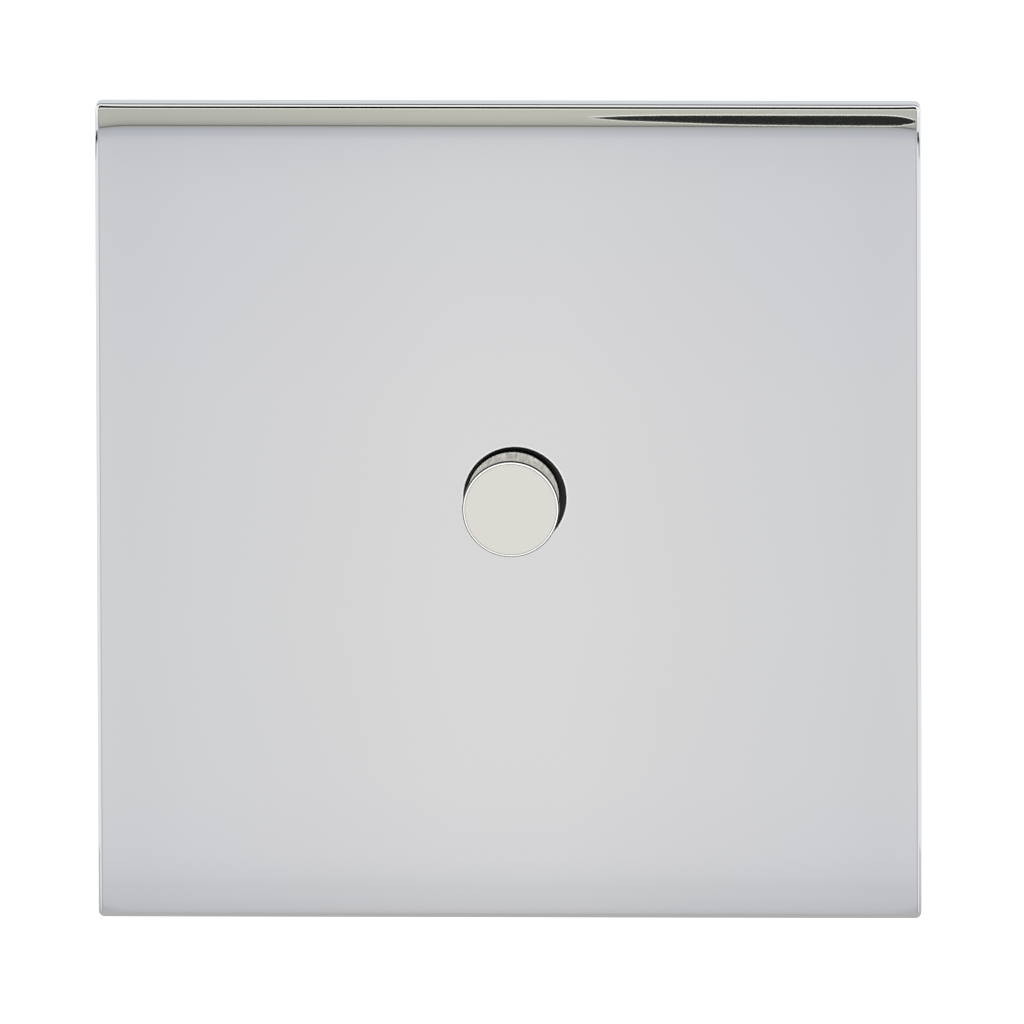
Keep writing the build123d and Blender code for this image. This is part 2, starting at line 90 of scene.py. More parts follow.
class Axis(Enum):
    """An axis of the object."""

    X = "X"
    Y = "Y"
    Z = "Z"


def linear(hex_colour: str) -> tuple[float, float, float, float]:
    """Turns an sRGB hex colour into linear RGBA.

    Args:
        hex_colour: six hexadecimal digits, with or without a leading hash.

    Returns:
        The linear red, green and blue, and an alpha of 1.
    """
    digits = hex_colour.lstrip("#")
    srgb = np.array([int(digits[i : i + 2], 16) / 255 for i in (0, 2, 4)])
    light = np.where(srgb <= 0.04045, srgb / 12.92, ((srgb + 0.055) / 1.055) ** 2.4)
    return (float(light[0]), float(light[1]), float(light[2]), 1.0)


def add_node(tree: bpy.types.NodeTree, kind: str, values: Values | None = None) -> bpy.types.Node:
    """Adds a node with its settings and links.

    Args:
        tree: the node tree that gets the node.
        kind: Blender's name of the node type.
        values: values by key. The name or number of an input sets that input, or links it if the
            value is a socket. Any other name sets the node.

    Returns:
        The new node.
    """
    node = tree.nodes.new(kind)
    for key, value in (values or {}).items():
        if isinstance(value, bpy.types.NodeSocket):
            tree.links.new(value, node.inputs[key])
        elif isinstance(key, int) or key in node.inputs:
            node.inputs[key].default_value = value
        else:
            setattr(node, key, value)
    return node


def new_nodes(owner: bpy.types.Material | bpy.types.World) -> Add:
    """Turns on the nodes of a new material or world and clears them.

    Args:
        owner: the material or world.

    Returns:
        The add_node of its tree.
    """
    owner.use_nodes = True
    owner.node_tree.nodes.clear()
    return partial(add_node, owner.node_tree)


def even(colour: str) -> Stops:
    """One colour all along an axis."""
    return ((-1.0, colour), (1.0, colour))


def shades_along(add: Add, axis: Axis, stops: Stops, stepped: bool = False) -> bpy.types.NodeSocket:
    """Colours that follow one axis of the object.

    Args:
        add: adds a node to the material.
        axis: the axis.
        stops: places in metres and their colours, in rising order.
        stepped: whether each colour holds up to the next place instead of running into it.

    Returns:
        The colour socket.
    """
    first, last = stops[0][0], stops[-1][0]
    place = add("ShaderNodeTexCoord").outputs["Object"]
    where = add("ShaderNodeSeparateXYZ", {"Vector": place}).outputs[axis.value]
    share = add("ShaderNodeMapRange", {"From Min": first, "From Max": last, "Value": where})
    made = add("ShaderNodeValToRGB", {"Fac": share.outputs["Result"]})
    made.color_ramp.interpolation = "CONSTANT" if stepped else "LINEAR"
    elements = made.color_ramp.elements
    elements[0].color, elements[1].color = linear(stops[0][1]), linear(stops[-1][1])
    for stop, colour in stops[1:-1]:
        elements.new((stop - first) / (last - first)).color = linear(colour)
    return made.outputs["Color"]


def mesh_object(name: str, points: np.ndarray, quads: np.ndarray, smooth_below: float = 30) -> Object:
    """Makes a mesh object from arrays.

    Args:
        name: the object's name.
        points: vertex places in metres, one row each.
        quads: vertex numbers of the faces, four a row; a repeated number makes a triangle.
        smooth_below: edges sharper than this angle in degrees stay crisp.

    Returns:
        The object, linked to the scene, at the origin.
    """
    mesh = bpy.data.meshes.new(name)
    three = quads[:, 2] == quads[:, 3]
    faces = [tuple(row) for row in quads[~three].tolist()]
    faces += [tuple(row) for row in quads[three, :3].tolist()]
    mesh.from_pydata(points.tolist(), [], faces)
    mesh.shade_smooth()
    mesh.set_sharp_from_angle(angle=math.radians(smooth_below))
    mesh.validate()
    mesh.update()
    made = bpy.data.objects.new(name, mesh)
    bpy.context.scene.collection.objects.link(made)
    return made


def grid_quads(rows: int, columns: int, wrap_rows: bool, wrap_columns: bool) -> np.ndarray:
    """Faces of a grid of vertices numbered row by row.

    Args:
        rows: number of rows.
        columns: number of vertices in a row.
        wrap_rows: whether the last row joins the first.
        wrap_columns: whether a row closes on itself.

    Returns:
        Four vertex numbers for each face.
    """
    i = np.arange(rows if wrap_rows else rows - 1)
    j = np.arange(columns if wrap_columns else columns - 1)
    i, j = (part.ravel() for part in np.meshgrid(i, j, indexing="ij"))
    i2, j2 = (i + 1) % rows, (j + 1) % columns
    return np.stack([i * columns + j, i2 * columns + j, i2 * columns + j2, i * columns + j2], axis=1)


def tube(rows: np.ndarray) -> tuple[np.ndarray, np.ndarray]:
    """A section carried along a path, closed at both ends.

    Args:
        rows: the section's points at each step of the path, with shape (steps, points, 3).

    Returns:
        Vertex places and faces.
    """
    count, sides = rows.shape[:2]
    quads = grid_quads(count, sides, False, True)[:, ::-1]
    caps = []
    for row, order in ((0, [0, 1, 2, 3]), (count - 1, [0, 2, 1, 1])):
        ids = row * sides + np.arange(sides)
        fan = np.stack([np.full(sides - 2, ids[0]), ids[1:-1], ids[2:], ids[2:]], axis=1)
        caps.append(fan[:, order])
    return rows.reshape(-1, 3), np.concatenate([quads, *caps])


def lathe(profile: np.ndarray, sides: int) -> tuple[np.ndarray, np.ndarray]:
    """Turns a profile round the Y axis.

    Each profile point (r, y) goes to (r cos a, y, r sin a) for angles a all the way round. The first
    and last point lie on the axis, and each becomes one pole vertex.

    Args:
        profile: points (radius, y) in metres from one pole to the other.
        sides: number of steps round the axis.

    Returns:
        Vertex places and faces.
    """
    angle = np.linspace(0, 2 * math.pi, sides, endpoint=False)
    radius, depth = profile[1:-1, :1], profile[1:-1, 1:]
    ring = np.stack(
        [radius * np.cos(angle), np.repeat(depth, sides, axis=1), radius * np.sin(angle)], axis=-1
    ).reshape(-1, 3)
    poles = np.array([(0.0, y, 0.0) for y in profile[[0, -1], 1]])
    step = np.arange(sides)
    after = (step + 1) % sides
    last = (len(radius) - 1) * sides
    first_pole, last_pole = (np.full(sides, len(ring) + number) for number in (0, 1))
    fans = [
        np.stack([step, after, first_pole, first_pole], axis=1),
        np.stack([last + after, last + step, last_pole, last_pole], axis=1),
    ]
    quads = grid_quads(len(radius), sides, False, True)
    return np.concatenate([ring, poles]), np.concatenate([quads, *fans])


def arc(centre: tuple[float, float], radius: float, start: float, end: float, steps: int) -> np.ndarray:
    """Points of a circular arc in a profile.

    Args:
        centre: the arc's centre.
        radius: its radius.
        start: first angle in degrees.
        end: last angle in degrees.
        steps: number of spans.

    Returns:
        The points, both ends included.
    """
    angle = np.radians(np.linspace(start, end, steps + 1))
    return np.stack([centre[0] + radius * np.cos(angle), centre[1] + radius * np.sin(angle)], axis=1)


# Finishes


@dataclass(frozen=True)
class Finish:
    """A finish, named for what the real surface is and how it was made."""

    name: str

    def material(self) -> bpy.types.Material:
        """Builds the material.

        Returns:
            The material, made of nodes.
        """
        made = bpy.data.materials.new(self.name)
        add = new_nodes(made)
        shader = add("ShaderNodeBsdfPrincipled", self.surface(add))
        add("ShaderNodeOutputMaterial", {"Surface": shader.outputs["BSDF"]})
        return made

    def surface(self, add: Add) -> Values:
        """Adds the nodes that drive the shader. Each kind of finish has its own.

        Args:
            add: adds a node to the material.

        Returns:
            The shader's values.
        """
        raise NotImplementedError


@dataclass(frozen=True)
class MetalFinish(Finish):
    """A plated, drawn or machined metal.

    The pattern is noise on Object coordinates whose cells are grain_mm across. It varies the
    roughness and, a little, the colour and the relief.
    """

    colour: str
    second_colour: str
    roughness: float
    roughness_spread: float
    grain_mm: float
    relief: float = 0.0
    relief_mm: float = 0.02

    def surface(self, add: Add) -> Values:
        """Adds the metal's nodes.

        Args:
            add: adds a node to the material.

        Returns:
            The shader's values.
        """
        place = add("ShaderNodeTexCoord").outputs["Object"]
        noise = add("ShaderNodeTexNoise", {
            "Scale": 1 / (self.grain_mm * MM), "Detail": 4.0, "Roughness": 0.55, "Vector": place,
        }).outputs["Fac"]
        colour = add("ShaderNodeMix", {
            "data_type": "RGBA", FACTOR: noise, COLOUR_A: linear(self.colour),
            COLOUR_B: linear(self.second_colour),
        })
        low, high = self.roughness - self.roughness_spread, self.roughness + self.roughness_spread
        rough = add("ShaderNodeMapRange", {"To Min": low, "To Max": high, "Value": noise})
        values = {
            "Metallic": 1.0,
            "Base Color": colour.outputs[MIXED_COLOUR],
            "Roughness": rough.outputs["Result"],
        }
        if self.relief:
            bumps = {"Strength": self.relief, "Distance": self.relief_mm * MM, "Height": noise}
            values["Normal"] = add("ShaderNodeBump", bumps).outputs["Normal"]
        return values


@dataclass(frozen=True)
class PlasticFinish(Finish):
    """A moulded plastic: an even colour with a faint fleck and the fine texture of its mould."""

    colour: str
    fleck_colour: str
    roughness: float
    fleck_mm: float
    texture_mm: float
    texture: float
    translucency: float = 0.0
    texture_depth_mm: float = 0.05
    light_depth_mm: float = 0.5

    def surface(self, add: Add) -> Values:
        """Adds the plastic's nodes.

        Args:
            add: adds a node to the material.

        Returns:
            The shader's values.
        """
        place = add("ShaderNodeTexCoord").outputs["Object"]
        fleck = add("ShaderNodeTexNoise", {
            "Scale": 1 / (self.fleck_mm * MM), "Detail": 6.0, "Roughness": 0.7, "Vector": place,
        })
        colour = add("ShaderNodeMix", {
            "data_type": "RGBA", FACTOR: fleck.outputs["Fac"], COLOUR_A: linear(self.colour),
            COLOUR_B: linear(self.fleck_colour),
        })
        mould = add("ShaderNodeTexNoise", {
            "Scale": 1 / (self.texture_mm * MM), "Detail": 2.0, "Vector": place,
        })
        bump = add("ShaderNodeBump", {
            "Strength": self.texture, "Distance": self.texture_depth_mm * MM, "Height": mould.outputs["Fac"],
        })
        return {
            "Base Color": colour.outputs[MIXED_COLOUR],
            "Metallic": 0.0,
            "Roughness": self.roughness,
            "IOR": 1.5,
            "Subsurface Weight": self.translucency,
            "Subsurface Scale": self.light_depth_mm * MM,
            "Normal": bump.outputs["Normal"],
        }


@dataclass(frozen=True)
class TurnedFinish(Finish):
    """A turned and plated metal: a polished face, a painted highlight and painted dark ring at the edge, and
    a drawn side.

    Places are y in millimetres, from the face towards the wall. Rings gives the head's colour from
    each place on: the face, a painted grey line, a painted white highlight and a painted dark ring,
    which stands in for the shade and dark reflections at the head's edge. The mirror polish ends at
    mirror_end, behind which the surface is duller. The side's colours follow and brighten towards
    the plate: painted light that makes up for the shade there. The side keeps fine lines along the
    axis: noise on Object coordinates that is drawn out along Y. Further in, where the shank stands
    in the bush, the surface is painted black: painted shade.
    """

    # The head's colours, with a painted grey line, a painted white highlight and a painted dark ring
    rings: Stops
    mirror_end: float
    # The side's colours, which brighten towards the plate as painted light against the shade there
    side_colours_and_painted_light: Stops
    # Painted shade: from this place on, the shank is painted black where it stands in the bush
    shank_painted_shade: float
    shank_painted_shade_colour: str
    line_colour: str
    line_mm: float
    cloud_mm: float
    face_roughness: float
    side_roughness: float
    side_metallic: float
    line_squash: float = 0.06
    line_range: tuple[float, float] = (0.40, 0.70)
    face_haze: float = 0.3

    def surface(self, add: Add) -> Values:
        """Adds the turned metal's nodes.

        Args:
            add: adds a node to the material.

        Returns:
            The shader's values.
        """
        place = add("ShaderNodeTexCoord").outputs["Object"]
        depth = add("ShaderNodeSeparateXYZ", {"Vector": place}).outputs["Y"]
        dull, side, shank_painted_shade = (
            add("ShaderNodeMath", {"operation": "GREATER_THAN", 0: depth, 1: y * MM}).outputs[0]
            for y in (self.mirror_end, self.side_colours_and_painted_light[0][0], self.shank_painted_shade)
        )
        # The head's rings carry a painted highlight and painted dark lines, and the side's colours brighten
        # towards the plate as painted light
        rings, shades = (
            shades_along(add, Axis.Y, tuple((y * MM, colour) for y, colour in stops), stepped)
            for stops, stepped in ((self.rings, True), (self.side_colours_and_painted_light, False))
        )
        drawn = add("ShaderNodeMapping", {"Scale": (1.0, self.line_squash, 1.0), "Vector": place})
        lines = add("ShaderNodeTexNoise", {
            "Scale": 1 / (self.line_mm * MM), "Detail": 3.0, "Roughness": 0.6,
            "Vector": drawn.outputs["Vector"],
        })
        contrast = add("ShaderNodeMapRange", {
            "From Min": self.line_range[0], "From Max": self.line_range[1], "Value": lines.outputs["Fac"],
        })
        lined = add("ShaderNodeMix", {
            "data_type": "RGBA", FACTOR: contrast.outputs["Result"], COLOUR_A: shades,
            COLOUR_B: linear(self.line_colour),
        })
        bright = add("ShaderNodeMix", {
            "data_type": "RGBA", FACTOR: side, COLOUR_A: rings, COLOUR_B: lined.outputs[MIXED_COLOUR],
        })
        # Painted shade: the shank inside the bush is painted black
        colour = add("ShaderNodeMix", {
            "data_type": "RGBA", FACTOR: shank_painted_shade, COLOUR_A: bright.outputs[MIXED_COLOUR],
            COLOUR_B: linear(self.shank_painted_shade_colour),
        })
        clouds = add("ShaderNodeTexNoise", {
            "Scale": 1 / (self.cloud_mm * MM), "Detail": 5.0, "Roughness": 0.6, "Vector": place,
        })
        low, high = ((1 + share) * self.face_roughness for share in (-self.face_haze, self.face_haze))
        haze = add("ShaderNodeMapRange", {"To Min": low, "To Max": high, "Value": clouds.outputs["Fac"]})
        rough = add("ShaderNodeMix", {
            "data_type": "FLOAT", FACTOR: dull, NUMBER_A: haze.outputs["Result"],
            NUMBER_B: self.side_roughness,
        })
        metal = add("ShaderNodeMapRange", {"To Min": 1.0, "To Max": self.side_metallic, "Value": dull})
        return {
            "Base Color": colour.outputs[MIXED_COLOUR],
            "Roughness": rough.outputs[MIXED_NUMBER],
            "Metallic": metal.outputs["Result"],
        }


@dataclass(frozen=True)
class PlatedFinish(Finish):
    """A pressed and plated sheet: a clear mirror outside, and a dull, cloudy plating inside.

    The mesh attribute "inside" is 1 on the inner faces, and "rim" is 1 on the rounded edge of the
    opening, which gets a painted highlight: a white, duller and less metallic colour. Both are 0 on the
    polished faces.
    """

    colour: str
    inner_colour: str
    inner_second: str
    roughness: float
    inner_roughness: float
    # Painted highlight: the opening's rounded edge is painted this white
    rim_painted_highlight_colour: str
    cloud_mm: float
    # The low metallic lets the painted highlight's white show on the opening's edge
    rim_metallic: float = 0.1
    face_haze: float = 0.2

    def surface(self, add: Add) -> Values:
        """Adds the plated sheet's nodes.

        Args:
            add: adds a node to the material.

        Returns:
            The shader's values.
        """
        place = add("ShaderNodeTexCoord").outputs["Object"]
        inside, rim = (
            add("ShaderNodeAttribute", {"attribute_name": name}).outputs["Fac"]
            for name in ("inside", "rim")
        )
        clouds = add("ShaderNodeTexNoise", {
            "Scale": 1 / (self.cloud_mm * MM), "Detail": 5.0, "Roughness": 0.6, "Vector": place,
        }).outputs["Fac"]
        dull = add("ShaderNodeMix", {
            "data_type": "RGBA", FACTOR: clouds, COLOUR_A: linear(self.inner_colour),
            COLOUR_B: linear(self.inner_second),
        })
        sheet = add("ShaderNodeMix", {
            "data_type": "RGBA", FACTOR: inside, COLOUR_A: linear(self.colour),
            COLOUR_B: dull.outputs[MIXED_COLOUR],
        })
        # Painted highlight: the opening's rounded edge is painted white
        colour = add("ShaderNodeMix", {
            "data_type": "RGBA", FACTOR: rim, COLOUR_A: sheet.outputs[MIXED_COLOUR],
            COLOUR_B: linear(self.rim_painted_highlight_colour),
        })
        low, high = ((1 + share) * self.roughness for share in (-self.face_haze, self.face_haze))
        haze = add("ShaderNodeMapRange", {"To Min": low, "To Max": high, "Value": clouds})
        either = add("ShaderNodeMath", {"operation": "MAXIMUM", 0: inside, 1: rim})
        rough = add("ShaderNodeMix", {
            "data_type": "FLOAT", FACTOR: either.outputs["Value"], NUMBER_A: haze.outputs["Result"],
            NUMBER_B: self.inner_roughness,
        })
        metal = add("ShaderNodeMapRange", {"To Min": 1.0, "To Max": self.rim_metallic, "Value": rim})
        return {
            "Base Color": colour.outputs[MIXED_COLOUR],
            "Roughness": rough.outputs[MIXED_NUMBER],
            "Metallic": metal.outputs["Result"],
        }


class Slot(Enum):
    """The record's material slots."""

    PLATE_CHROME = "plate_chrome"
    BUTTON_NICKEL = "button_nickel"
    STUD_STEEL = "stud_steel"
    CHASSIS_ZINC = "chassis_zinc"
    SCREW_ZINC = "screw_zinc"
    BUSH_BLACK = "bush_black"
    SOCKET_NYLON = "socket_nylon"
    NUT_BRASS = "nut_brass"
    WASHER_STEEL = "washer_steel"
    CLIP_STEEL = "clip_steel"
    PLUNGER_WHITE = "plunger_white"
    CONTACT_BRASS = "contact_brass"
    TIP_SILVER = "tip_silver"
    SPRING_STEEL = "spring_steel"
    CASE_BLACK = "case_black"
    BASE_GREY = "base_grey"
    TERMINAL_BRASS = "terminal_brass"


FINISHES: dict[Slot, Finish] = {
    # Bright chromium plate on pressed brass: a clean, neutral mirror, dull and grey inside, with a
    # painted highlight round the opening, where the rounded edge is painted white
    Slot.PLATE_CHROME: PlatedFinish(
        "bright_chromium_plate", "#F0F0F0", "#B9BBBC", "#A9ABAD", 0.022, 0.38, "#FFFFFF", 5.0
    ),
    # Polished nickel on turned brass: a warm mirror with a painted grey line and a painted white
    # highlight at its edge, a painted black ring behind the edge that stands in for shade and dark
    # reflections, a lined side that brightens towards the plate as painted light, and painted shade,
    # black, on the shank where it stands in the bush
    Slot.BUTTON_NICKEL: TurnedFinish(
        "polished_nickel_plate",
        # The head: face, painted grey line, painted white highlight, painted dark ring, then the side
        (
            (-10.62, "#F5F3EB"), (-10.5985, "#8C8A83"), (-10.590, "#FFFFFF"), (-10.515, "#0A0A09"),
            (-10.0, "#E0DDD3"), (-9.9, "#E0DDD3"),
        ),
        -10.590,
        # The side's colours, brightening towards the plate as painted light
        ((-10.0, "#D6D4CC"), (-6.0, "#DBD9D0"), (-4.3, "#EFECE3"), (-3.5, "#FFFEF8"), (-3.05, "#FFFFFF")),
        # Painted shade: from this place on, the shank is painted the black below it
        -3.03,
        "#070707",
        "#A8A499",
        0.22,
        1.2,
        0.03,
        0.55,
        0.12,
    ),
    # Turned stainless pins, left bright
    Slot.STUD_STEEL: MetalFinish("turned_stainless_steel", "#C6C8CA", "#B4B6B8", 0.25, 0.06, 0.3),
    # Zinc-plated and clear-passivated sheet: satin, with faint blue and straw clouds
    Slot.CHASSIS_ZINC: MetalFinish(
        "zinc_plated_sheet", "#C9CDD2", "#BDBCB4", 0.36, 0.08, 6.0, relief=0.15
    ),
    # Zinc-plated screws, brighter than the sheet
    Slot.SCREW_ZINC: MetalFinish("zinc_plated_screw", "#CDD0D3", "#B9BABA", 0.26, 0.07, 1.0),
    # Black acetal, turned: a soft gloss
    Slot.BUSH_BLACK: PlasticFinish("black_acetal", "#0E0E0F", "#141415", 0.42, 0.8, 0.15, 0.1),
    # Natural nylon: milky and slightly translucent
    Slot.SOCKET_NYLON: PlasticFinish("natural_nylon", "#EAE7DC", "#E2DDCE", 0.45, 1.5, 0.2, 0.1, 0.25),
    # Machined brass nut
    Slot.NUT_BRASS: MetalFinish("machined_brass", "#D9BC7E", "#C6A562", 0.28, 0.08, 0.8),
    # Hardened spring steel washer, oiled
    Slot.WASHER_STEEL: MetalFinish("hardened_washer_steel", "#9A9B9D", "#85868A", 0.35, 0.08, 0.8),
    # Phosphated spring steel clips: dark grey and dull
    Slot.CLIP_STEEL: MetalFinish("phosphated_spring_steel", "#5C5E62", "#4B4C50", 0.5, 0.1, 0.4),
    # White acetal plunger
    Slot.PLUNGER_WHITE: PlasticFinish("white_acetal", "#EDEBE3", "#E6E3D9", 0.4, 1.5, 0.2, 0.1, 0.15),
    # Stamped brass strip
    Slot.CONTACT_BRASS: MetalFinish("stamped_brass_strip", "#DDBF83", "#CBA968", 0.3, 0.08, 0.7),
    # Fine silver contact rivets
    Slot.TIP_SILVER: MetalFinish("silver_contact_alloy", "#E6E5E1", "#D5D4CE", 0.3, 0.06, 0.3),
    # Drawn spring wire, nickelled
    Slot.SPRING_STEEL: MetalFinish("nickelled_spring_wire", "#C9CACC", "#ABACB0", 0.22, 0.05, 0.4),
    # Black phenolic moulding: glossy, with a faint brown fleck
    Slot.CASE_BLACK: PlasticFinish("black_phenolic", "#1B1B1C", "#262321", 0.34, 0.5, 0.4, 0.12),
    # Dark grey urea moulding: duller than the case
    Slot.BASE_GREY: PlasticFinish("grey_urea_moulding", "#4A4B4D", "#545557", 0.5, 0.5, 0.3, 0.2),
    # Milled brass terminal blocks
    Slot.TERMINAL_BRASS: MetalFinish("milled_brass_block", "#D6B779", "#C29F5D", 0.3, 0.1, 0.6),
}


class Palette:
    """Builds each finish once and puts it on pieces and CAD nodes."""

    def __init__(self) -> None:
        """Builds all materials."""
        self.materials = {slot: finish.material() for slot, finish in FINISHES.items()}

    def dress_nodes(self, slots: dict[str, Slot]) -> None:
        """Puts finishes on CAD nodes.

        Args:
            slots: the material slot of each node, by the node's name.
        """
        for node, slot in slots.items():
            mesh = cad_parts[node].data
            if not mesh.materials:
                mesh.materials.append(None)
            for index in range(len(mesh.materials)):
                mesh.materials[index] = self.materials[slot]

    def dress_piece(self, piece: Object, slot: Slot, body: str) -> None:
        """Puts a finish on a new piece and sets it on a body.

        Args:
            piece: the piece.
            slot: its material slot.
            body: the CAD body that carries it.
        """
        piece.data.materials.append(self.materials[slot])
        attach(piece, body)


# Sub-assemblies


@dataclass
class CoverPlate:
    """The pressed and polished cover: a square shell with rounded edges and one round opening.

    The face is flat except for the last few millimetres, which polishing has rolled off a little
    towards the wall. Sizes are in metres. The three holds are distances from a fold at which a ring
    of vertices keeps it crisp. rim_rings and inner_rings say which rings are the opening's rounding
    and the inside.
    """

    edge_radius: float = 0.55 * MM
    corner_radius: float = 0.7 * MM
    fold_radius: float = 0.15 * MM
    inner_corner_radius: float = 0.4 * MM
    wall: float = 1.0 * MM
    opening_radius: float = 5.37 * MM
    opening_centre: tuple[float, float] = (0.2 * MM, -0.04 * MM)
    rim_radius: float = 0.17 * MM
    rim_rings: tuple[int, int] = (3, 12)
    flat_rings: tuple[float, float] = (1.0 * MM, 2.0 * MM)
    flat_shares: tuple[float, ...] = (0.0, 0.35, 0.7, 1.0)
    flat_margin: float = 0.3 * MM
    flat_corner_radius: float = 0.5 * MM
    roll_width: float = 4.6 * MM
    roll_drop: float = 0.10 * MM
    roll_corner_gain: float = 0.5
    notch_width: float = 9.0 * MM
    notch_height: float = 1.1 * MM
    fine_hold: float = 0.02 * MM
    side_hold: float = 0.05 * MM
    wide_hold: float = 0.1 * MM
    side_steps: int = 150
    corner_steps: int = 12
    roll_steps: int = 34
    edge_steps: int = 14
    inner_rings: int = 6
    low: Vector = field(default_factory=lambda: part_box("cover_plate")[0])
    high: Vector = field(default_factory=lambda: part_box("cover_plate")[1])

    @property
    def middle(self) -> float:
        """The plate's middle in x."""
        return (self.low.x + self.high.x) / 2

    def outline(self, inset: float, radius: float) -> np.ndarray:
        """Points round the plate's outline, at a distance inside its edge.

        A straight side has its samples at 0.5 + 0.5 sin(s pi / 2) of its length, with s from -1 to
        1, which lie closer towards its ends. Each corner is an arc. They run anticlockwise seen
        from the front, from the left end of the bottom side.

        Args:
            inset: distance inside the plate's edge.
            radius: the corner radius there.

        Returns:
            Points (x, z).
        """
        x0, x1 = self.low.x + inset, self.high.x - inset
        z0, z1 = self.low.z + inset, self.high.z - inset
        left, right, lower, upper = x0 + radius, x1 - radius, z0 + radius, z1 - radius
        sides = (
            ((left, z0), (right, z0), (right, lower)),
            ((x1, lower), (x1, upper), (right, upper)),
            ((right, z1), (left, z1), (left, upper)),
            ((x0, upper), (x0, lower), (left, lower)),
        )
        eased = 0.5 + 0.5 * np.sin(np.linspace(-1, 1, self.side_steps + 1) * math.pi / 2)
        parts = []
        for number, (start, end, corner) in enumerate(sides):
            share = self.notched(eased, start[0], end[0]) if number == 0 else eased
            parts.append(np.array(start) + share[:, None] * (np.array(end) - np.array(start)))
            parts.append(arc(corner, radius, 90 * number - 90, 90 * number, self.corner_steps)[1:-1])
        return np.concatenate(parts)

    def notched(self, share: np.ndarray, start: float, end: float) -> np.ndarray:
        """Moves the nearest samples of the bottom side onto both sides of the notch's two steps.

        Args:
            share: the samples' places along the side, from 0 to 1.
            start: the side's first x.
            end: its last x.

        Returns:
            The moved places.
        """
        moved = share.copy()
        gap = self.fine_hold / 2 / (end - start)
        for side in (-1, 1):
            step = (self.middle + side * self.notch_width / 2 - start) / (end - start)
            index = int(np.searchsorted(share, step))
            moved[index - 1], moved[index] = step - gap, step + gap
        return moved

    def face_depth(self, plan: np.ndarray) -> np.ndarray:
        """The face's y: the front plane, plus a cubic drop in the last millimetres before an edge.

        With u = (width - distance to the edge) / width, no less than 0, the drop is
        roll_drop (ux^3 + uz^3 + gain ux^3 uz^3).

        Args:
            plan: points (x, z).

        Returns:
            The y at each point.
        """
        x, z = plan[:, 0], plan[:, 1]
        near_x = np.minimum(x - self.low.x, self.high.x - x)
        near_z = np.minimum(z - self.low.z, self.high.z - z)
        ux = np.clip((self.roll_width - near_x) / self.roll_width, 0, 1) ** 3
        uz = np.clip((self.roll_width - near_z) / self.roll_width, 0, 1) ** 3
        return self.low.y + self.roll_drop * (ux + uz + self.roll_corner_gain * ux * uz)

    def notch(self, plan: np.ndarray) -> np.ndarray:
        """Depth of the rim's back edge: the wall, or shallower across the notch at the bottom.

        Args:
            plan: points (x, z).

        Returns:
            The y at each point.
        """
        across = np.abs(plan[:, 0] - self.middle) < self.notch_width / 2
        low_down = plan[:, 1] < self.low.z + 2 * self.wall
        return np.where(across & low_down, -self.notch_height, 0.0)

    def shell(self) -> np.ndarray:
        """The closed shell as rings of equal length, from the opening's inner edge round and back.

        Over the flat face the rings go from circle to outline in straight shares. Over the rounded
        edge, at a turn t from 0 to 90 degrees, the inset is r (1 - sin t) and the depth is
        r (1 - cos t), plus the roll's drop times cos t.

        Returns:
            The rings' points, with shape (rings, points, 3).
        """
        outer = self.outline(0.0, self.corner_radius)
        angle = np.arctan2(outer[:, 1] - self.opening_centre[1], outer[:, 0] - self.opening_centre[0])
        circle = np.stack([np.cos(angle), np.sin(angle)], axis=1)
        face_y, inside_y = self.low.y, self.low.y + self.wall
        rings = []

        def ring(plan: np.ndarray, depth: np.ndarray | float) -> None:
            """Adds one ring from its plan and its depth."""
            y = np.broadcast_to(depth, (len(plan),))
            rings.append(np.stack([plan[:, 0], y, plan[:, 1]], axis=1))

        def around(radius: float) -> np.ndarray:
            """Plan of a circle round the opening's centre."""
            return np.array(self.opening_centre) + radius * circle

        opening = around(self.opening_radius)
        ring(opening, inside_y)
        ring(opening, inside_y - self.fine_hold)
        ring(opening, face_y + self.rim_radius + self.fine_hold)
        flat_start = self.opening_radius + self.rim_radius
        steps = self.rim_rings[1] - self.rim_rings[0] - 1
        for radius, depth in arc((flat_start, face_y + self.rim_radius), self.rim_radius, 180, 270, steps):
            ring(around(radius), depth)
        ring(around(flat_start + self.fine_hold / 2), face_y)
        ring(around(flat_start + self.flat_rings[0]), face_y)
        near = around(flat_start + self.flat_rings[1])
        far = self.outline(self.roll_width + self.flat_margin, self.flat_corner_radius)
        for share in self.flat_shares:
            ring(near + share * (far - near), face_y)
        for inset in np.linspace(self.roll_width, self.edge_radius, self.roll_steps + 1):
            plan = self.outline(inset, self.fold_radius)
            ring(plan, self.face_depth(plan))
        drop = self.face_depth(self.outline(self.edge_radius, self.fold_radius)) - face_y
        for turn in np.radians(np.linspace(0, 90, self.edge_steps + 1)[1:]):
            sine, cosine = math.sin(turn), math.cos(turn)
            radius = self.fold_radius + (self.corner_radius - self.fold_radius) * sine
            plan = self.outline(self.edge_radius * (1 - sine), radius)
            ring(plan, face_y + self.edge_radius * (1 - cosine) + drop * cosine)
        bottom = self.notch(outer)
        ring(outer, face_y + self.edge_radius + self.wide_hold)
        ring(outer, -self.notch_height - self.side_hold)
        ring(outer, bottom)
        inner = self.outline(self.wall, self.inner_corner_radius)
        ring(inner, bottom)
        ring(inner, -self.notch_height - self.side_hold)
        ring(inner, inside_y + self.side_hold)
        ring(inner, inside_y)
        ring(self.outline(self.wall + self.wide_hold, self.inner_corner_radius), inside_y)
        ring(around(self.opening_radius + self.wide_hold), inside_y)
        return np.stack(rings)

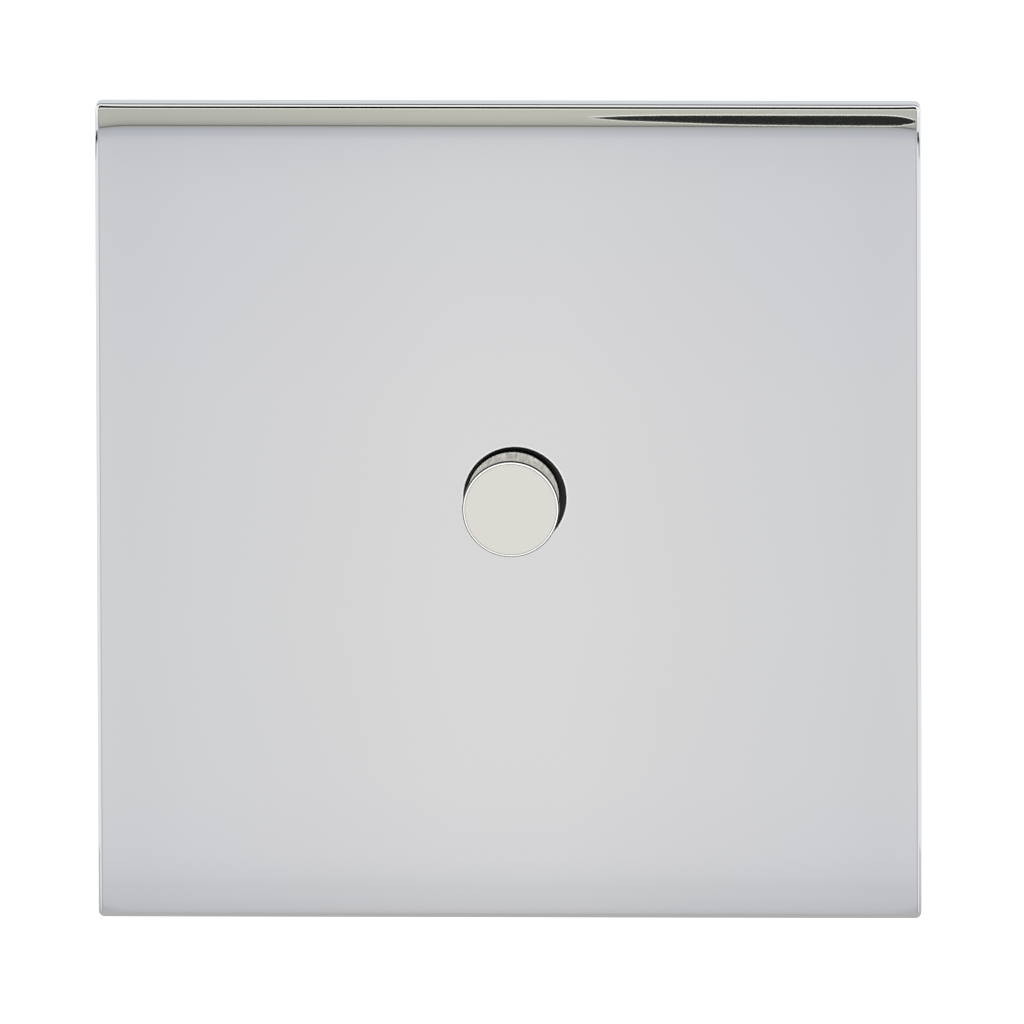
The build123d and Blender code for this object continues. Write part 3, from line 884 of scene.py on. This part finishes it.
    def build(self, palette: Palette) -> None:
        """Builds the cover and dresses it and its studs.

        Args:
            palette: the finishes.
        """
        rings = self.shell()
        quads = grid_quads(*rings.shape[:2], True, True)
        cover = mesh_object("polished_cover", rings.reshape(-1, 3), quads, smooth_below=40)
        # The "rim" mark is where the opening's edge gets its painted highlight
        for name, marked in (("inside", slice(-self.inner_rings, None)), ("rim", slice(*self.rim_rings))):
            marks = np.zeros(rings.shape[:2], dtype=np.float32)
            marks[marked] = 1.0
            cover.data.attributes.new(name, "FLOAT", "POINT").data.foreach_set("value", marks.ravel())
        palette.dress_piece(cover, Slot.PLATE_CHROME, "cover")
        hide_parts("cover_plate")
        palette.dress_nodes({"cover_studs": Slot.STUD_STEEL})


@dataclass
class PushButton:
    """The turned button with its clip, plunger and contact bridge.

    Sizes are in metres. face_hold and fine_hold are distances from a fold at which a ring of
    vertices keeps it crisp.
    """

    head_radius: float = 5.05 * MM
    shank_radius: float = 4.8 * MM
    edge_radius: float = 0.32 * MM
    head_thickness: float = 1.3 * MM
    groove_radius: float = 4.1 * MM
    groove_front: float = 4.75 * MM
    groove_back: float = 5.45 * MM
    bore_radius: float = 2.0 * MM
    bore_front: float = 2.2 * MM
    face_ring: float = 0.5 * MM
    face_hold: float = 0.05 * MM
    fine_hold: float = 0.02 * MM
    edge_steps: int = 10
    sides: int = 192
    low: Vector = field(default_factory=lambda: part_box("button")[0])
    high: Vector = field(default_factory=lambda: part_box("button")[1])

    def profile(self) -> np.ndarray:
        """The button's profile from the middle of its face to the bottom of its bore.

        Returns:
            Points (radius, y).
        """
        front, back = self.low.y, self.high.y
        flat = self.head_radius - self.edge_radius
        shoulder = front + self.head_thickness
        slope = shoulder - (self.head_radius - self.shank_radius)
        face = [(0.0, front), (self.face_ring, front), (flat - self.face_hold, front)]
        edge = arc((flat, front + self.edge_radius), self.edge_radius, -90, 0, self.edge_steps)
        rest = [
            (self.head_radius, slope - self.fine_hold),
            (self.head_radius, slope),
            (self.shank_radius, shoulder),
            (self.shank_radius, shoulder + self.fine_hold),
            (self.shank_radius, self.groove_front - self.fine_hold),
            (self.shank_radius, self.groove_front),
            (self.groove_radius, self.groove_front),
            (self.groove_radius, self.groove_back),
            (self.shank_radius, self.groove_back),
            (self.shank_radius, back),
            (self.bore_radius, back),
            (self.bore_radius, self.bore_front),
            (0.0, self.bore_front),
        ]
        return np.concatenate([face, edge, rest])

    def build(self, palette: Palette) -> None:
        """Builds the button and dresses what is behind it.

        Reflections don't see the button, because the photograph shows no mirror image of it.

        Args:
            palette: the finishes.
        """
        button = mesh_object("turned_button", *lathe(self.profile(), self.sides))
        palette.dress_piece(button, Slot.BUTTON_NICKEL, "pushbutton")
        button.visible_glossy = False
        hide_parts("button")
        palette.dress_nodes({
            "retaining_clip": Slot.CLIP_STEEL,
            "plunger": Slot.PLUNGER_WHITE,
            "contact_bridge": Slot.CONTACT_BRASS,
            "bridge_tips": Slot.TIP_SILVER,
            "bridge_clip": Slot.CLIP_STEEL,
            "bridge_spring": Slot.SPRING_STEEL,
        })


@dataclass
class ReturnSpring:
    """The coil that pushes the button out. Sizes are in metres."""

    wire_radius: float = 0.25 * MM
    turns: float = 6.0
    travel: float = 2.5 * MM
    steps_a_turn: int = 40
    wire_sides: int = 12
    low: Vector = field(default_factory=lambda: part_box("return_spring")[0])
    high: Vector = field(default_factory=lambda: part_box("return_spring")[1])

    def coil(self) -> tuple[np.ndarray, np.ndarray]:
        """A round wire carried along a helix whose end turns lie closed.

        The helix is (R cos t, y(t), R sin t). Its pitch is the wire's width over the first and last
        turn and the rest of the length is shared by the others. The wire's section is a circle in
        the plane of the radius and the Y axis.

        Returns:
            Vertex places and faces.
        """
        mean = (self.high.x - self.low.x) / 2 - self.wire_radius
        t = np.linspace(0, self.turns, int(self.turns * self.steps_a_turn) + 1)
        closed = 2 * self.wire_radius
        length = (self.high.y - self.low.y) - closed
        open_pitch = (length - 2 * closed) / (self.turns - 2)
        pitch = np.where((t < 1) | (t > self.turns - 1), closed, open_pitch)
        steps = (pitch[1:] + pitch[:-1]) / 2 * np.diff(t)
        rise = np.concatenate([[0.0], np.cumsum(steps)])
        middle = self.low.y + self.wire_radius + rise / rise[-1] * length
        around = np.linspace(0, 2 * math.pi, self.wire_sides, endpoint=False)
        radius = mean + self.wire_radius * np.cos(around)
        y = middle[:, None] + self.wire_radius * np.sin(around)
        turn = 2 * math.pi * t[:, None]
        return tube(np.stack([radius * np.cos(turn), y, radius * np.sin(turn)], axis=-1))

    def build(self, palette: Palette) -> None:
        """Builds the spring, which shortens on the real switch as the button is pressed, and gives it a mesh
        of its own.

        Args:
            palette: the finishes.
        """
        spring = mesh_object("coiled_return_spring", *self.coil())
        palette.dress_piece(spring, Slot.SPRING_STEEL, "base")
        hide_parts("return_spring")
        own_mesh(spring)


@dataclass
class WallMount:
    """The chassis with its bush, sockets, screws and earth post.

    Sizes are in metres. flank is the share of the pitch between a thread's crest and its root.
    """

    screw_places: tuple[float, float] = (-30.15 * MM, 30.15 * MM)
    thread_start: float = 2.4 * MM
    thread_end_gap: float = 0.7 * MM
    thread_pitch: float = 0.8 * MM
    crest_radius: float = 1.93 * MM
    root_radius: float = 1.66 * MM
    flank: float = 0.4
    least_rise: float = 0.02
    steps_a_turn: int = 32
    high: Vector = field(default_factory=lambda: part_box("box_screws")[1])

    def thread(self, place: float) -> tuple[np.ndarray, np.ndarray]:
        """A three-sided ridge carried along a helix on one screw's shank.

        The section's crest is at (r(t), y(t)) and its two roots lie at the root radius, one flank
        before and behind. The crest r(t) rises from the root over the first turn and falls back to
        it over the last.

        Args:
            place: the screw's x.

        Returns:
            Vertex places and faces.
        """
        length = self.high.y - self.thread_end_gap - self.thread_start
        turns = length / self.thread_pitch
        t = np.linspace(0, turns, int(turns * self.steps_a_turn) + 1)
        rise = np.clip(np.minimum(t, turns - t), self.least_rise, 1)
        crest = self.root_radius + rise * (self.crest_radius - self.root_radius)
        root = np.full(len(t), self.root_radius)
        radius = np.stack([root, crest, root], axis=1)
        shift = np.array([-self.flank, 0.0, self.flank]) * self.thread_pitch
        turn = 2 * math.pi * t[:, None]
        y = self.thread_start + self.thread_pitch * t[:, None] + shift
        return tube(np.stack([place + radius * np.cos(turn), y, radius * np.sin(turn)], axis=-1))

    def build(self, palette: Palette) -> None:
        """Builds the wall screws' threads and dresses the chassis and what is fixed to it.

        Args:
            palette: the finishes.
        """
        for side, place in zip(("left", "right"), self.screw_places):
            thread = mesh_object(f"wall_screw_thread_{side}", *self.thread(place))
            palette.dress_piece(thread, Slot.SCREW_ZINC, "base")
        palette.dress_nodes({
            "chassis": Slot.CHASSIS_ZINC,
            "stud_sockets": Slot.SOCKET_NYLON,
            "box_screws": Slot.SCREW_ZINC,
            "guide_bush": Slot.BUSH_BLACK,
            "lock_washer": Slot.WASHER_STEEL,
            "bush_nut": Slot.NUT_BRASS,
            "earth_terminal": Slot.TERMINAL_BRASS,
            "earth_screw": Slot.SCREW_ZINC,
        })


@dataclass
class SwitchModule:
    """The moulded case with its contacts, terminals and screws."""

    def build(self, palette: Palette) -> None:
        """Dresses the module.

        Args:
            palette: the finishes.
        """
        palette.dress_nodes({
            "module_housing": Slot.CASE_BLACK,
            "module_base": Slot.BASE_GREY,
            "base_screws": Slot.SCREW_ZINC,
            "fixed_contact_left": Slot.CONTACT_BRASS,
            "fixed_contact_right": Slot.CONTACT_BRASS,
            "fixed_tips": Slot.TIP_SILVER,
            "terminal_left": Slot.TERMINAL_BRASS,
            "terminal_right": Slot.TERMINAL_BRASS,
            "terminal_screws": Slot.SCREW_ZINC,
        })


# Studio

# How much brighter than its shade a card glows, to make up for what the metal swallows
METAL_GAIN = 1.16


@dataclass
class Card:
    """A flat studio card that only reflections see, in metres.

    It spans the space between two rails, with shape (2, points, 3). Its colour follows shades from
    place to place along Z, and is multiplied by the tints along X.
    """

    name: str
    rails: np.ndarray
    shades: Stops
    tints: Stops = even("#FFFFFF")
    strength: float = METAL_GAIN

    def build(self) -> None:
        """Builds the card."""
        rails = np.asarray(self.rails)
        card = mesh_object(self.name, rails.reshape(-1, 3), grid_quads(2, rails.shape[1], False, False))
        made = bpy.data.materials.new(self.name)
        add = new_nodes(made)
        tinted = add("ShaderNodeMix", {
            "data_type": "RGBA", "blend_type": "MULTIPLY", FACTOR: 1.0,
            COLOUR_A: shades_along(add, Axis.Z, self.shades), COLOUR_B: shades_along(add, Axis.X, self.tints),
        }).outputs[MIXED_COLOUR]
        glow = add("ShaderNodeEmission", {"Strength": self.strength, "Color": tinted})
        add("ShaderNodeOutputMaterial", {"Surface": glow.outputs["Emission"]})
        card.data.materials.append(made)
        card.visible_camera = False
        card.visible_diffuse = False
        card.visible_shadow = False


# What the polished plate mirrors in front of it, panel by panel from low to high: the shade beside
# each height is the one that the plate shows
WALL_PANELS = (
    (
        (-0.300, "#AFAFB0"), (-0.190, "#B6B6B8"), (-0.1847, "#BBBBBD"), (-0.177, "#C1C1C4"),
        (-0.1668, "#C4C5C8"), (-0.1433, "#C8C9CB"), (-0.1336, "#C9CACC"), (-0.1292, "#CBCCCE"),
        (-0.1251, "#D3D3D5"), (-0.1167, "#D6D6D7"),
    ),
    (
        (-0.1167, "#D6D6D7"), (-0.0976, "#D7D7D7"), (-0.0718, "#D6D6D7"), (-0.0601, "#D4D4D6"),
        (-0.0483, "#D1D2D4"), (-0.0447, "#CFD0D2"), (-0.0414, "#CBCCCF"), (-0.0400, "#CACBCD"),
        (-0.0373, "#C6C8CC"), (-0.0345, "#BDBFC4"), (-0.0310, "#B9BBC0"), (-0.0256, "#ABADAE"),
        (-0.0236, "#ABACAA"),
    ),
    (
        (-0.0236, "#ABACAA"), (-0.0232, "#6E706A"), (-0.0211, "#72746D"), (-0.0206, "#A1A199"),
        (-0.0153, "#ADADA4"), (-0.0113, "#B4B4AB"), (0.0020, "#BABAB0"),
    ),
    ((0.0020, "#BABAB0"), (0.0402, "#BABAB0")),
    ((0.0402, "#FDFCF4"), (0.1305, "#FDFCF4")),
    ((0.1305, "#060606"), (0.6200, "#060606")),
)
WALL_TINTS = (
    (-0.370, "#D6D7DA"), (-0.170, "#D6D7DA"), (-0.167, "#F6F7F8"), (-0.0589, "#F4F5F7"), (-0.0523, "#F7F8FA"),
    (-0.0372, "#FBFBFC"), (-0.0221, "#FFFFFF"), (-0.0102, "#FFFFFF"), (0.0049, "#FBFBFC"),
    (0.0200, "#F7F8FA"), (0.0267, "#F4F5F7"), (0.1370, "#F6F7F8"), (0.1400, "#D6D7DA"), (0.3500, "#D6D7DA"),
)
# A dark flag whose mirror image is the slim leaf in the plate's rolled top: (x, top z, bottom z)
FLAG_SPANS = (
    (-0.0064, -0.0056, -0.0064), (-0.0027, -0.0020, -0.0118), (0.0017, -0.0004, -0.0143),
    (0.0075, 0.0001, -0.0176), (0.0112, 0.0002, -0.0190), (0.0192, 0.0003, -0.0202),
    (0.0250, 0.0004, -0.0204), (0.0320, 0.0002, -0.0204), (0.0480, 0.0002, -0.0190),
    (0.0600, 0.0002, -0.0158), (0.0740, -0.0002, -0.0124), (0.0830, -0.0012, -0.0084),
    (0.0864, -0.0042, -0.0054),
)
# The two layers of the flag: name, distance in front of the wall, lift of its top and bottom, shade
FLAG_LAYERS = (
    ("flag_border", 0.001, (0.0018, -0.0013), "#FFFEF6"),
    ("dark_flag", 0.002, (0.0, 0.0), "#282A29"),
)
# Dark strips beside the switch, whose mirror images are the short marks near its top corners:
# side, then (y, bottom z, top z) along each strip
SIDE_STRIPS = (
    (-1, ((-0.250, -0.0166, -0.0091), (-0.075, -0.0037, 0.0006), (0.060, -0.0060, -0.0030))),
    (1, ((-0.286, -0.0203, -0.0123), (-0.093, -0.0046, -0.0002), (0.050, -0.0055, -0.0028))),
)
# Plain cards below, above and behind the switch: name, half width, both edges' (y, z), shade, strength
PLAIN_CARDS = (
    ("low_card", 0.2, (-0.055, -0.065), (0.035, -0.065), "#AEAEAE", METAL_GAIN),
    ("overhead_card", 0.6, (0.045, 0.5), (0.5, 0.5), "#161616", 1.0),
    ("rear_card", 0.6, (0.5, 0.0), (0.5, 0.35), "#CBCED2", METAL_GAIN),
)
# Soft lamps: name, place, power in watts
LAMPS = (
    ("key_lamp", (-0.5, -0.9, 0.9), 6.0),
    ("fill_lamp", (0.8, -0.6, 0.4), 3.0),
    ("back_lamp", (0.3, 0.9, 0.7), 5.0),
)


@dataclass
class Studio:
    """White surroundings, soft lamps, reflector cards and the camera.

    Sizes are in metres, and angles in degrees.
    """

    elevation: float = 9.5
    azimuth: float = 1.8
    roll: float = -0.18
    camera_distance: float = 4.4
    frame_width: float = 106.75 * MM
    sensor_width_mm: float = 36.0
    clip_range: tuple[float, float] = (0.05, 20.0)
    aim: tuple[float, float, float] = (-0.10 * MM, -3.0 * MM, -1.52 * MM)
    sky_strength: float = 0.85
    floor_size: float = 3.0
    floor_drop: float = 0.26
    floor_glow: float = 0.45
    lamp_size: float = 0.8
    wall_distance: float = 0.5
    wall_sides: tuple[float, float] = (-0.37, 0.35)
    strip_distance: float = 0.3
    strip_shade: str = "#161616"

    def world(self) -> None:
        """Lights the scene from all round, and shows white to the camera and to reflections."""
        world = bpy.data.worlds.new("studio")
        bpy.context.scene.world = world
        add = new_nodes(world)
        path = add("ShaderNodeLightPath")
        soft = add("ShaderNodeBackground", {"Color": linear("#F4F5F6"), "Strength": self.sky_strength})
        white = add("ShaderNodeBackground", {"Color": linear("#FFFFFF"), "Strength": 1.0})
        seen = add("ShaderNodeMath", {
            "operation": "MAXIMUM", 0: path.outputs["Is Camera Ray"], 1: path.outputs["Is Glossy Ray"],
        })
        mixed = add("ShaderNodeMixShader", {
            0: seen.outputs["Value"], 1: soft.outputs["Background"], 2: white.outputs["Background"],
        })
        add("ShaderNodeOutputWorld", {"Surface": mixed.outputs["Shader"]})

    def floor(self) -> None:
        """A wide pale floor that the camera sees as white and that keeps shadows."""
        size, z = self.floor_size, cad_low.z - self.floor_drop
        points = np.array([(-size, -size, z), (size, -size, z), (size, size, z), (-size, size, z)])
        floor = mesh_object("studio_floor", points, np.array([[0, 1, 2, 3]]))
        made = bpy.data.materials.new("white_paper_sweep")
        add = new_nodes(made)
        path = add("ShaderNodeLightPath")
        paper = add("ShaderNodeBsdfDiffuse", {"Color": linear("#F2F2F0")}).outputs["BSDF"]
        glow = add("ShaderNodeEmission", {"Color": linear("#FFFFFF"), "Strength": self.floor_glow})
        lit = add("ShaderNodeAddShader", {0: paper, 1: glow.outputs["Emission"]})
        direct = add("ShaderNodeMixShader", {
            0: path.outputs["Is Camera Ray"], 1: paper, 2: lit.outputs["Shader"],
        }).outputs["Shader"]
        plain = add("ShaderNodeEmission", {"Color": linear("#EEEFF1"), "Strength": 1.0})
        mixed = add("ShaderNodeMixShader", {
            0: path.outputs["Is Glossy Ray"], 1: direct, 2: plain.outputs["Emission"],
        })
        add("ShaderNodeOutputMaterial", {"Surface": mixed.outputs["Shader"]})
        floor.data.materials.append(made)

    def lamp(self, name: str, place: tuple[float, float, float], watts: float) -> None:
        """Adds a square soft lamp aimed at the switch.

        Args:
            name: its name.
            place: where it stands.
            watts: its power.
        """
        data = bpy.data.lights.new(name, "AREA")
        data.size = self.lamp_size
        data.energy = watts
        lamp = bpy.data.objects.new(name, data)
        bpy.context.scene.collection.objects.link(lamp)
        lamp.location = place
        lamp.rotation_euler = (-Vector(place)).to_track_quat("-Z", "Y").to_euler()
        lamp.visible_glossy = False

    def cards(self) -> None:
        """The cards that the polished metal mirrors."""
        y = -self.wall_distance
        for index, panel in enumerate(WALL_PANELS):
            rails = [[(x, y, z) for x in self.wall_sides] for z in (panel[0][0], panel[-1][0])]
            Card(f"graded_wall_{index}", rails, panel, WALL_TINTS).build()
        x, *edges = np.array(FLAG_SPANS).T
        for name, gap, lifts, shade in FLAG_LAYERS:
            across = np.full(len(x), y + gap)
            rails = [np.stack([x, across, edge + lift], axis=1) for edge, lift in zip(edges, lifts)]
            Card(name, rails, even(shade)).build()
        for name, half, first, second, shade, strength in PLAIN_CARDS:
            rails = [[(x, *first), (x, *second)] for x in (-half, half)]
            Card(name, rails, even(shade), strength=strength).build()
        for side, stations in SIDE_STRIPS:
            x = self.strip_distance * side
            rails = [[(x, station[0], station[end]) for station in stations] for end in (1, 2)]
            Card(f"side_strip_{side + 1}", rails, even(self.strip_shade), strength=1.0).build()

    def camera(self) -> None:
        """The camera, at the photograph's angle with a long lens."""
        data = bpy.data.cameras.new("camera")
        camera = bpy.data.objects.new("camera", data)
        bpy.context.scene.collection.objects.link(camera)
        a, e = math.radians(self.azimuth), math.radians(self.elevation)
        back = Vector((math.sin(a) * math.cos(e), -math.cos(a) * math.cos(e), math.sin(e)))
        camera.location = Vector(self.aim) + back * self.camera_distance
        camera.rotation_mode = "QUATERNION"
        roll = Quaternion((0, 0, 1), math.radians(self.roll))
        camera.rotation_quaternion = (-back).to_track_quat("-Z", "Y") @ roll
        data.sensor_width = self.sensor_width_mm
        data.lens = self.sensor_width_mm * self.camera_distance / self.frame_width
        data.clip_start, data.clip_end = self.clip_range
        bpy.context.scene.camera = camera

    def build(self) -> None:
        """Builds the whole studio."""
        self.world()
        self.floor()
        self.cards()
        for name, place, watts in LAMPS:
            self.lamp(name, place, watts)
        self.camera()
        bpy.context.scene.view_settings.view_transform = "Standard"


def main() -> None:
    """Builds the switch and its studio in order."""
    logging.basicConfig(level=logging.INFO, format="%(message)s")
    palette = Palette()
    for part in (CoverPlate(), PushButton(), ReturnSpring(), WallMount(), SwitchModule()):
        part.build(palette)
        log.info("built %s", type(part).__name__)
    Studio().build()
    log.info("built the studio")


if __name__ == "__main__":
    main()
